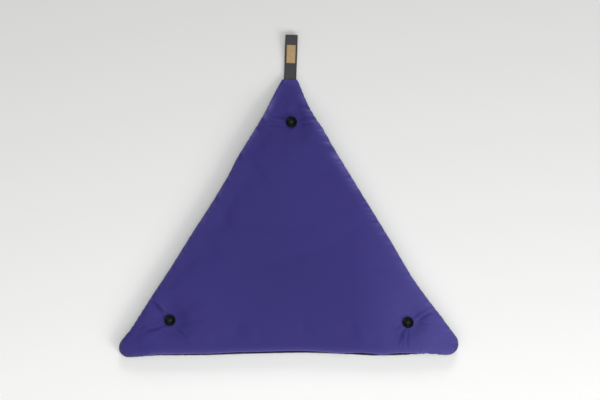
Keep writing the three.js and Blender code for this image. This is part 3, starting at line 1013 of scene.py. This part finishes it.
# The groove the stitches lie in, and how each one bows up and dives in at its ends.
GROOVE_DEPTH = 0.14
GROOVE_WIDTH = 0.45
STITCH_SINK = 0.12
STITCH_BOW = 0.16
STITCH_FLATNESS = 4
STITCH_DIVE = 0.25
STITCH_DIVE_FROM = 0.9


def on_upper_layer(across, out, height):
    """Places of points at a height above the middle of the webbing's upper layer."""
    up = smooth_through(UPPER_LAYER, out)
    ahead = smooth_through(UPPER_LAYER, out + SLOPE_STEP)
    behind = smooth_through(UPPER_LAYER, out - SLOPE_STEP)
    slope = (ahead - behind) / (2 * SLOPE_STEP)
    length = np.sqrt(1 + slope ** 2)
    return on_hanger(across, out - slope / length * height, up + height / length)


def label_section(to_end):
    """One ring of the patch: places across it, heights, and how far in from its edge."""
    x = np.linspace(-1, 1, LABEL_COLUMNS)
    flat = np.zeros(LABEL_COLUMNS)
    short = max(LABEL_CORNER - to_end, 0)
    round_in = LABEL_CORNER - math.sqrt(max(LABEL_CORNER ** 2 - short ** 2, 0))
    half = LABEL_WIDTH / 2 - round_in
    inside = np.minimum(to_end, half - np.abs(x) * half)
    soft = np.sqrt(1 - (1 - np.clip(inside / LABEL_SOFT_EDGE, 0, 1)) ** 2)
    top = LABEL_THICKNESS * (LABEL_EDGE_SHARE + LABEL_SOFT_SHARE * soft)
    sunk = GROOVE_DEPTH * bell(inside - STITCH_INSET, GROOVE_WIDTH)
    base = WEBBING_THICKNESS / 2 + LABEL_GAP
    heights = np.concatenate([top - sunk, flat]) + base
    places = np.concatenate([x * half, x[::-1] * half])
    return places, heights, np.concatenate([inside, flat])


def make_label(material):
    """A thin plate with rounded corners and soft edges, laid on the upper layer."""
    outs = np.linspace(LABEL_FROM, LABEL_TO, LABEL_STEPS + 1)
    ends = np.array(LABEL_END_STEPS)
    outs = np.concatenate([LABEL_FROM + ends, outs[2:-2], LABEL_TO - ends[::-1]])
    rings, edge = [], []
    for out in outs:
        places, heights, inside = label_section(min(out - LABEL_FROM, LABEL_TO - out))
        rings.append(on_upper_layer(places, np.full(len(places), out), heights)[::-1])
        edge.append(inside[::-1])
    label = loft("label-patch", np.array(rings), {"edge": np.concatenate(edge)})
    label.data.materials.append(material)
    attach(label, "root")
    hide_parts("label")
    return label


def make_label_stitches(material):
    """A row of short stitches round the patch, a little inside its edge."""
    half = LABEL_WIDTH / 2 - STITCH_INSET
    low, high = LABEL_FROM + STITCH_INSET, LABEL_TO - STITCH_INSET
    corners = np.array([(-half, low), (-half, high), (half, high), (half, low)])
    height = WEBBING_THICKNESS / 2 + LABEL_GAP + LABEL_THICKNESS
    t = np.linspace(-1, 1, STITCH_STEPS)
    lift = (height - STITCH_SINK + STITCH_BOW * (1 - t ** STITCH_FLATNESS)
            - STITCH_DIVE * (np.abs(t) > STITCH_DIVE_FROM))
    parts = []
    for start, end in zip(corners, np.roll(corners, -1, 0)):
        length = np.linalg.norm(end - start)
        count = round(length / STITCH_PITCH)
        for k in range(count):
            middle = start + (end - start) * (k + 0.5) / count
            places = middle + np.outer(t, (end - start) / length) * STITCH_LENGTH / 2
            path = on_upper_layer(places[:, 0], places[:, 1], lift)
            parts.append(tube(path, STITCH_RADIUS, STITCH_SIDES))
    stitches = join_parts("label-stitches", parts)
    stitches.data.materials.append(material)
    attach(stitches, "root")
    return stitches


def new_material(name, color, roughness):
    material = bpy.data.materials.new(name)
    material.use_nodes = True
    shader = material.node_tree.nodes["Principled BSDF"]
    set_inputs(shader, {"Base Color": (*color, 1), "Roughness": roughness})
    return material, material.node_tree, shader


def set_inputs(node, values):
    for name, value in values.items():
        node.inputs[name].default_value = value


def add_math(tree, operation, first, second=None):
    node = tree.nodes.new("ShaderNodeMath")
    node.operation = operation
    for socket, value in zip(node.inputs, (first, second)):
        if value is None:
            continue
        if isinstance(value, (int, float)):
            socket.default_value = value
        else:
            tree.links.new(value, socket)
    return node.outputs[0]


def blend(tree, factor, base, over):
    """A colour, or a node's colour, covered by another as far as the factor goes."""
    mix = tree.nodes.new("ShaderNodeMix")
    mix.data_type = "RGBA"
    tree.links.new(factor, mix.inputs["Factor"])
    if isinstance(base, tuple):
        mix.inputs["A"].default_value = (*base, 1)
    else:
        tree.links.new(base, mix.inputs["A"])
    mix.inputs["B"].default_value = (*over, 1)
    return mix.outputs["Result"]


# Rises are in metres, and a noise's scale is in swells a metre.
Bump = namedtuple("Bump", "rise strength")
Noise = namedtuple("Noise", "scale detail roughness")


def add_bump(tree, shader, height, bump, after=None):
    node = tree.nodes.new("ShaderNodeBump")
    set_inputs(node, {"Strength": bump.strength, "Distance": bump.rise})
    tree.links.new(height, node.inputs["Height"])
    if after is not None:
        tree.links.new(after, node.inputs["Normal"])
    tree.links.new(node.outputs["Normal"], shader.inputs["Normal"])
    return node.outputs["Normal"]


def noise(tree, coordinates, kind):
    node = tree.nodes.new("ShaderNodeTexNoise")
    set_inputs(node, {"Scale": kind.scale, "Detail": kind.detail, "Roughness": kind.roughness})
    tree.links.new(coordinates, node.inputs["Vector"])
    return node.outputs["Fac"]


def attribute(tree, name):
    node = tree.nodes.new("ShaderNodeAttribute")
    node.attribute_name = name
    return node.outputs["Fac"]


def object_place(tree):
    return tree.nodes.new("ShaderNodeTexCoord").outputs["Object"]


def axes_of(tree, place):
    split = tree.nodes.new("ShaderNodeSeparateXYZ")
    tree.links.new(place, split.inputs[0])
    return split.outputs


def rising(tree, value, start, end):
    """Nought up to the start, then rising to one at the end."""
    node = tree.nodes.new("ShaderNodeMapRange")
    set_inputs(node, {"From Min": start, "From Max": end})
    tree.links.new(value, node.inputs["Value"])
    return node.outputs["Result"]


CLOTH_DARK = (0.0338, 0.025, 0.178)
CLOTH_LIGHT = (0.0412, 0.0316, 0.204)
# Painted light: the cloth is lighter towards +X.
CLOTH_PAINTED_LIGHT = (0.062, 0.053, 0.258)
# Painted shade in patches on the face.
CLOTH_PAINTED_SHADE = (0.028, 0.021, 0.158)
# Painted sheen along the edges.
CLOTH_PAINTED_SHEEN = (0.115, 0.1, 0.35)
# Painted shade by the seam and on the back panel.
CLOTH_UNDER_SHADE = (0.007, 0.005, 0.04)
# Where the painted light towards +X starts and is full, in metres along X.
PAINTED_LIGHT_START = 0.105
PAINTED_LIGHT_END = 0.245
WEAVE_PITCH = 0.00045
WEAVE_BUMP = Bump(0.00003, 0.5)
CLOTH_CLOUDS = Noise(9, 4, 0.6)
CLOTH_CRUMPLE = Noise(55, 3, 0.5)
CRUMPLE_BUMP = Bump(0.0006, 0.35)
CLOTH_ROUGHNESS = 0.62
CLOTH_SHEEN = {
    "Specular IOR Level": 0.2,
    "Sheen Weight": 0.14,
    "Sheen Roughness": 0.45,
    "Sheen Tint": (0.6, 0.56, 1, 1),
}

# Fine gathers along the seam, in millimetres: their pitch, and how far in they reach.
GATHER_PITCH = 3.2
GATHER_LENGTH = 16
GATHER_FADE = 15
GATHER_SWELL = Noise(0.6, 2, 0.5)
GATHER_BUMP = Bump(0.0011, 1)


def cloth_material():
    """Smooth, closely woven cloth with a faint sheen, and painted sheen, light and shade in its
    colour.
    """
    material, tree, shader = new_material("cloth", CLOTH_LIGHT, CLOTH_ROUGHNESS)
    place = object_place(tree)
    axes = axes_of(tree, place)
    waves = [
        add_math(tree, "SINE", add_math(tree, "MULTIPLY", axis, 2 * math.pi / WEAVE_PITCH))
        for axis in axes]
    weave = add_math(tree, "ADD", add_math(tree, "MULTIPLY", waves[0], waves[1]), waves[2])
    color = blend(tree, noise(tree, place, CLOTH_CLOUDS), CLOTH_DARK, CLOTH_LIGHT)
    # Painted light: the cloth grows lighter towards +X.
    color = blend(tree, rising(tree, axes["X"], PAINTED_LIGHT_START, PAINTED_LIGHT_END), color, CLOTH_PAINTED_LIGHT)
    # Painted shade in patches, by the "deep" attribute.
    color = blend(tree, attribute(tree, "deep"), color, CLOTH_PAINTED_SHADE)
    # Painted sheen along the edges, and a painted highlight on the roll.
    color = blend(tree, attribute(tree, "painted_sheen"), color, CLOTH_PAINTED_SHEEN)
    # Painted shade by the seam and on the back panel, by the "lower" attribute.
    color = blend(tree, attribute(tree, "lower"), color, CLOTH_UNDER_SHADE)
    tree.links.new(color, shader.inputs["Base Color"])
    soft = add_bump(tree, shader, noise(tree, place, CLOTH_CRUMPLE), CRUMPLE_BUMP)
    gathered = add_bump(tree, shader, gathers(tree), GATHER_BUMP, soft)
    add_bump(tree, shader, weave, WEAVE_BUMP, gathered)
    set_inputs(shader, CLOTH_SHEEN)
    return material


def gathers(tree):
    """Long narrow swells that run inwards from the seam and fade out."""
    inward = attribute(tree, "inward")
    stretched = tree.nodes.new("ShaderNodeCombineXYZ")
    along = add_math(tree, "DIVIDE", attribute(tree, "walked"), GATHER_PITCH)
    tree.links.new(along, stretched.inputs["X"])
    tree.links.new(add_math(tree, "DIVIDE", inward, GATHER_LENGTH), stretched.inputs["Y"])
    swell = noise(tree, stretched.outputs[0], GATHER_SWELL)
    left = add_math(tree, "SUBTRACT", 1, add_math(tree, "DIVIDE", inward, GATHER_FADE))
    return add_math(tree, "MULTIPLY", swell, add_math(tree, "MAXIMUM", left, 0))


WEBBING_DARK = (0.04, 0.039, 0.044)
WEBBING_LIGHT = (0.085, 0.083, 0.092)
# Painted shade for the rib valleys and both edges of the webbing.
WEBBING_GROOVE_SHADE = (0.012, 0.012, 0.014)
WEBBING_TINGED = (0.052, 0.05, 0.066)
WEBBING_ROUGHNESS = 0.8
WEBBING_SHEEN = {"Sheen Weight": 0.1}
WEBBING_THREAD_PITCH = 0.9
WEBBING_THREAD_BUMP = Bump(0.0001, 0.7)
WEBBING_FIBRES = Noise(900, 3, 0.6)
WEBBING_FIBRE_BUMP = Bump(0.0001, 0.5)
WEBBING_WEAR = Noise(70, 2, 0.5)
SELVEDGE = 1.3
GROOVE_SHADE = 0.6
WEAR_SHADE = 0.5


def webbing_material():
    """Dark grey webbing: lengthwise ribs are in the mesh, the cross threads are bump."""
    material, tree, shader = new_material("webbing", WEBBING_LIGHT, WEBBING_ROUGHNESS)
    across, along = attribute(tree, "across"), attribute(tree, "along")
    cross = add_math(tree, "SINE", add_math(
        tree, "MULTIPLY", along, 2 * math.pi / WEBBING_THREAD_PITCH))
    turn = add_math(tree, "MULTIPLY", add_math(tree, "ADD", across, WEBBING_WIDTH / 2),
                    2 * math.pi * RIBS / WEBBING_WIDTH)
    rib = add_math(tree, "COSINE", turn)
    threads = add_math(tree, "MULTIPLY", cross, rib)
    place = object_place(tree)
    fibres = noise(tree, place, WEBBING_FIBRES)
    color = blend(tree, fibres, WEBBING_DARK, WEBBING_LIGHT)
    valley = add_math(tree, "SUBTRACT", 0.5, add_math(tree, "MULTIPLY", rib, 0.5))
    from_middle = add_math(tree, "ABSOLUTE", across)
    selvedge = add_math(tree, "GREATER_THAN", from_middle, WEBBING_WIDTH / 2 - SELVEDGE)
    # Painted shade: the rib valleys and both edges of the webbing are darkened.
    for dark in (valley, selvedge):
        shade = add_math(tree, "MULTIPLY", dark, GROOVE_SHADE)
        color = blend(tree, shade, color, WEBBING_GROOVE_SHADE)
    worn = add_math(tree, "MULTIPLY", noise(tree, place, WEBBING_WEAR), WEAR_SHADE)
    color = blend(tree, worn, color, WEBBING_TINGED)
    tree.links.new(color, shader.inputs["Base Color"])
    first = add_bump(tree, shader, threads, WEBBING_THREAD_BUMP)
    add_bump(tree, shader, fibres, WEBBING_FIBRE_BUMP, first)
    set_inputs(shader, WEBBING_SHEEN)
    return material


LEATHER = (0.42, 0.28, 0.13)
LEATHER_DARK = (0.36, 0.235, 0.11)
LEATHER_LIGHT = (0.5, 0.345, 0.175)
LEATHER_EDGE = (0.16, 0.085, 0.035)
LEATHER_ROUGHNESS = 0.62
LEATHER_CLOUDS = Noise(160, 4, 0.6)
LEATHER_GRAIN = Noise(1800, 3, 0.6)
LEATHER_BUMP = Bump(0.0002, 0.5)
BURNISH_FALL = 1.6


def leather_material():
    """Tan leather, darker where its edge is burnished."""
    material, tree, shader = new_material("leather", LEATHER, LEATHER_ROUGHNESS)
    place = object_place(tree)
    hide = blend(tree, noise(tree, place, LEATHER_CLOUDS), LEATHER_DARK, LEATHER_LIGHT)
    from_edge = add_math(tree, "MULTIPLY", attribute(tree, "edge"), BURNISH_FALL)
    burnished = add_math(tree, "MAXIMUM", add_math(tree, "SUBTRACT", 1, from_edge), 0)
    tree.links.new(blend(tree, burnished, hide, LEATHER_EDGE), shader.inputs["Base Color"])
    add_bump(tree, shader, noise(tree, place, LEATHER_GRAIN), LEATHER_BUMP)
    return material


BUTTON_BLACK = (0.003, 0.004, 0.005)
BUTTON_ROUGHNESS = 0.38
BUTTON_GLOSS = {"Specular IOR Level": 0.07}
BUTTON_GRAIN = Noise(1500, 2, 0.5)
BUTTON_BUMP = Bump(0.00004, 0.4)


def button_material():
    material, tree, shader = new_material("button-black", BUTTON_BLACK, BUTTON_ROUGHNESS)
    set_inputs(shader, BUTTON_GLOSS)
    add_bump(tree, shader, noise(tree, object_place(tree), BUTTON_GRAIN), BUTTON_BUMP)
    return material


THREAD_ROUGHNESS = 0.7
THREAD_FIBRES = Noise(2500, 2, 0.5)
THREAD_BUMP = Bump(0.0001, 0.6)
Thread = namedtuple("Thread", "name dark light")
DARK_THREAD = Thread("thread-dark", (0.01, 0.014, 0.004), (0.03, 0.036, 0.012))
TAN_THREAD = Thread("thread-tan", (0.3, 0.2, 0.1), (0.55, 0.42, 0.25))


def thread_material(thread):
    material, tree, shader = new_material(thread.name, thread.light, THREAD_ROUGHNESS)
    fibres = noise(tree, object_place(tree), THREAD_FIBRES)
    color = blend(tree, fibres, thread.dark, thread.light)
    tree.links.new(color, shader.inputs["Base Color"])
    add_bump(tree, shader, fibres, THREAD_BUMP)
    return material


FLOOR_SIZE = 8
# Painted shade: the floor's colour darkens towards +Y, standing in for light that falls off
# there.
FLOOR_NEAR = (0.96, 0.96, 0.96)
FLOOR_FAR_SHADED = (0.77, 0.77, 0.77)
FLOOR_FADE = 0.33
FLOOR_ROUGHNESS = 0.9
FLOOR_GLOSS = {"Specular IOR Level": 0.1}
FLOOR_CELLS = 8


def make_stage():
    drawn = bmesh.new()
    bmesh.ops.create_grid(
        drawn, x_segments=FLOOR_CELLS, y_segments=FLOOR_CELLS, size=FLOOR_SIZE / 2)
    floor = add_drawn("floor", drawn)
    material, tree, shader = new_material("floor", FLOOR_NEAR, FLOOR_ROUGHNESS)
    axes = axes_of(tree, object_place(tree))
    # Painted shade: the floor's colour darkens towards +Y.
    behind = rising(tree, axes["Y"], -FLOOR_FADE, FLOOR_FADE)
    color = blend(tree, behind, FLOOR_NEAR, FLOOR_FAR_SHADED)
    tree.links.new(color, shader.inputs["Base Color"])
    set_inputs(shader, FLOOR_GLOSS)
    floor.data.materials.append(material)


Lamp = namedtuple("Lamp", "name x y z width height power color")
LAMPS = [
    Lamp("side", 4, -3, 3.1, 2.8, 2.8, 120, (1, 1, 1)),
    Lamp("back", 0.5, 5, 3.2, 2, 2, 100, (0.97, 0.97, 1)),
    Lamp("overhead", 0, 0.3, 6, 3, 3, 90, (1, 1, 1)),
    Lamp("front", 0.12, -1, 1.15, 3, 0.5, 9.4, (1, 1, 1)),
]
WORLD_STRENGTH = 0.2
WORLD_COLOR = (1, 1.02, 0.92)


def make_lights():
    world = bpy.data.worlds.new("studio")
    world.use_nodes = True
    background = world.node_tree.nodes["Background"]
    set_inputs(background, {"Color": (*WORLD_COLOR, 1), "Strength": WORLD_STRENGTH})
    bpy.context.scene.world = world
    for lamp in LAMPS:
        data = bpy.data.lights.new(lamp.name, "AREA")
        data.shape = "RECTANGLE"
        data.size = lamp.width
        data.size_y = lamp.height
        data.energy = lamp.power
        data.color = lamp.color
        light = add_object(lamp.name, data)
        light.location = (lamp.x, lamp.y, lamp.z)
        light.rotation_euler = (-light.location).to_track_quat("-Z", "Y").to_euler()
    bpy.context.scene.view_settings.view_transform = "Standard"


CAMERA_DISTANCE = 5.0
CAMERA_AIM = (0.0183, -0.0078, 0.015)
CAMERA_TILT = 2.5
VIEW_WIDTH = 0.9705
SENSOR_WIDTH = 36


def make_camera():
    data = bpy.data.cameras.new("camera")
    data.sensor_width = SENSOR_WIDTH
    data.lens = SENSOR_WIDTH * CAMERA_DISTANCE / VIEW_WIDTH
    camera = add_object("camera", data)
    tilt = math.radians(CAMERA_TILT)
    aim = Vector(CAMERA_AIM)
    camera.location = aim + CAMERA_DISTANCE * Vector((0, -math.sin(tilt), math.cos(tilt)))
    camera.rotation_euler = (tilt, 0, 0)
    bpy.context.scene.camera = camera


def main():
    make_camera()
    make_stage()
    make_lights()
    make_pad()
    black = button_material()
    dark_thread = thread_material(DARK_THREAD)
    for tuft in TUFTS:
        make_button(tuft, black)
        make_button_thread(tuft, dark_thread)
    webbing, length = make_webbing(webbing_material())
    label = make_label(leather_material())
    stitches = make_label_stitches(thread_material(TAN_THREAD))


main()
